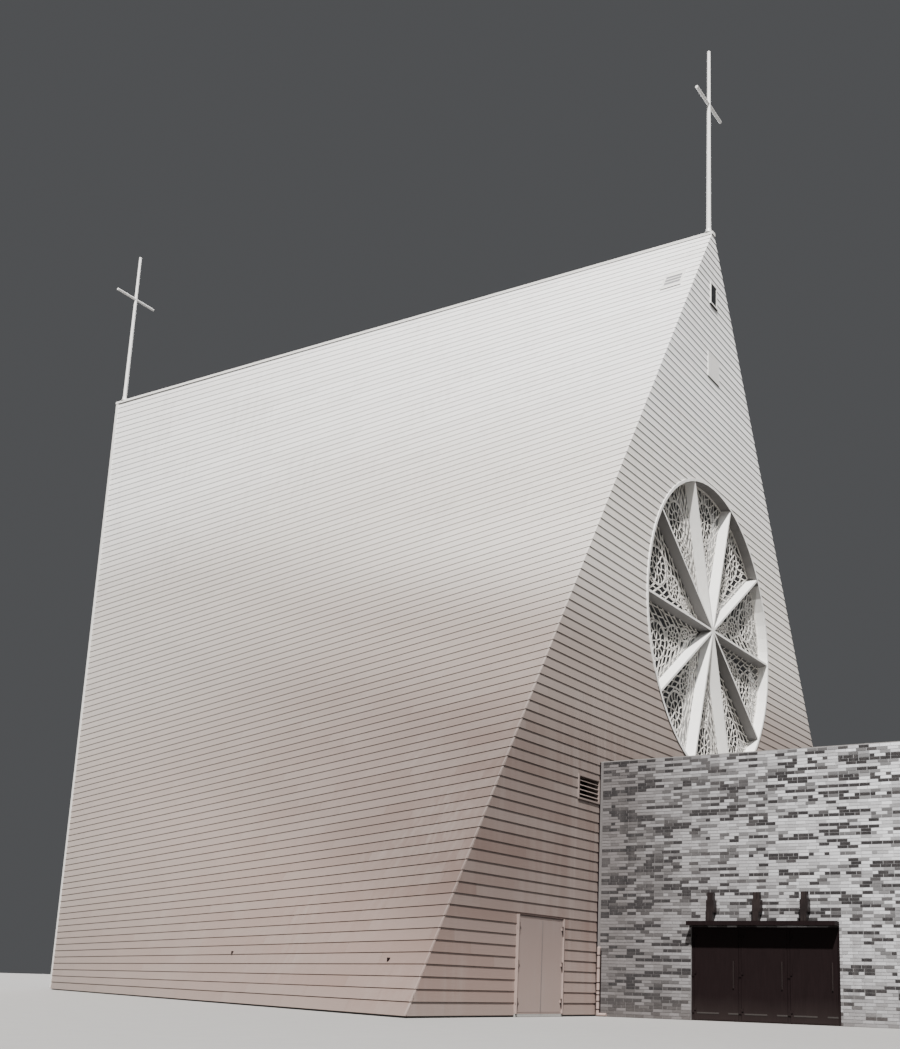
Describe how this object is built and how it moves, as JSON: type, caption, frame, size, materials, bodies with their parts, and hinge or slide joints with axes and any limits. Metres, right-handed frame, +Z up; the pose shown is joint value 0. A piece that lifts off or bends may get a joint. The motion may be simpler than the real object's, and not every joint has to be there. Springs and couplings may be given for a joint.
{
  "type": "modern church building",
  "caption": "Church with a triangular boarded gable, twisted side walls, level ridge with masts, round rayed window and flat-roofed brick entrance hall.",
  "frame": {"origin": "ground level under the middle of the whole plan, on the building's centre line", "axes": "+X along the gable to the right as seen from the front, +Y from the gable to the rear along the ridge, +Z up"},
  "size_m": [31.2, 39.14, 34.02],
  "materials": {
    "boards": "matte",
    "trim": "satin",
    "brick": "matte",
    "concrete": "matte",
    "roofing": "matte",
    "coping": "satin",
    "white_metal": "satin",
    "dark_timber": "satin",
    "glass": "gloss",
    "lantern": "satin"
  },
  "bodies": {
    "building": {"left_side_wall": "boards", "right_side_wall": "boards", "gable_left_corner": "boards", "gable_left_pier": "boards", "gable_right_pier": "boards", "gable_right_corner": "boards", "gable_upper_wall": "boards", "ridge_cap": "trim", "rear_corner_trim": "trim", "nave_floor": "concrete", "front_cross_mast": "white_metal", "front_cross_arm": "white_metal", "rear_cross_mast": "white_metal", "rear_cross_arm": "white_metal", "rose_lining": "trim", "rose_glass": "glass", "rose_star": "trim", "left_louvre": "trim", "right_louvre": "trim", "apex_window_frame": "trim", "apex_window_glass": "glass", "gable_panel": "trim", "left_ridge_vent": "trim", "right_ridge_vent": "trim", "side_door_frame": "trim", "right_side_doors": "trim", "hall_front_wall": "brick", "hall_right_wall": "brick", "hall_left_wall_inner": "brick", "hall_left_wall_outer": "brick", "hall_left_wall_over": "brick", "hall_floor": "concrete", "hall_roof": "roofing", "hall_coping": "coping", "entrance_frame": "dark_timber", "entrance_canopy": "dark_timber", "entrance_lantern_1": "lantern", "entrance_lantern_2": "lantern", "entrance_lantern_3": "lantern", "corner_pipe": "white_metal"},
    "side_left_leaf": {"side_door_left_leaf": "trim"},
    "side_right_leaf": {"side_door_right_leaf": "trim"},
    "entrance_leaf_1": {"entrance_door_1": "dark_timber"},
    "entrance_leaf_2": {"entrance_door_2": "dark_timber"},
    "entrance_leaf_3": {"entrance_door_3": "dark_timber"}
  },
  "joints": [
    {"name": "side_left_hinge", "type": "hinge", "parent": "building", "child": "side_left_leaf", "pos_m": [-11.486, -10.316, 0.07], "axis": [0, 0, -1], "range_deg": [0, 100]},
    {"name": "side_right_hinge", "type": "hinge", "parent": "building", "child": "side_right_leaf", "pos_m": [-9.454, -10.316, 0.07], "axis": [0, 0, 1], "range_deg": [0, 100]},
    {"name": "entrance_hinge_1", "type": "hinge", "parent": "building", "child": "entrance_leaf_1", "pos_m": [-7.576, -12.964, 0], "axis": [0, 0, -1], "range_deg": [0, 95]},
    {"name": "entrance_hinge_2", "type": "hinge", "parent": "building", "child": "entrance_leaf_2", "pos_m": [-7.576, -14.19067, 0], "axis": [0, 0, -1], "range_deg": [0, 95]},
    {"name": "entrance_hinge_3", "type": "hinge", "parent": "building", "child": "entrance_leaf_3", "pos_m": [-7.576, -15.41733, 0], "axis": [0, 0, -1], "range_deg": [0, 95]}
  ]
}
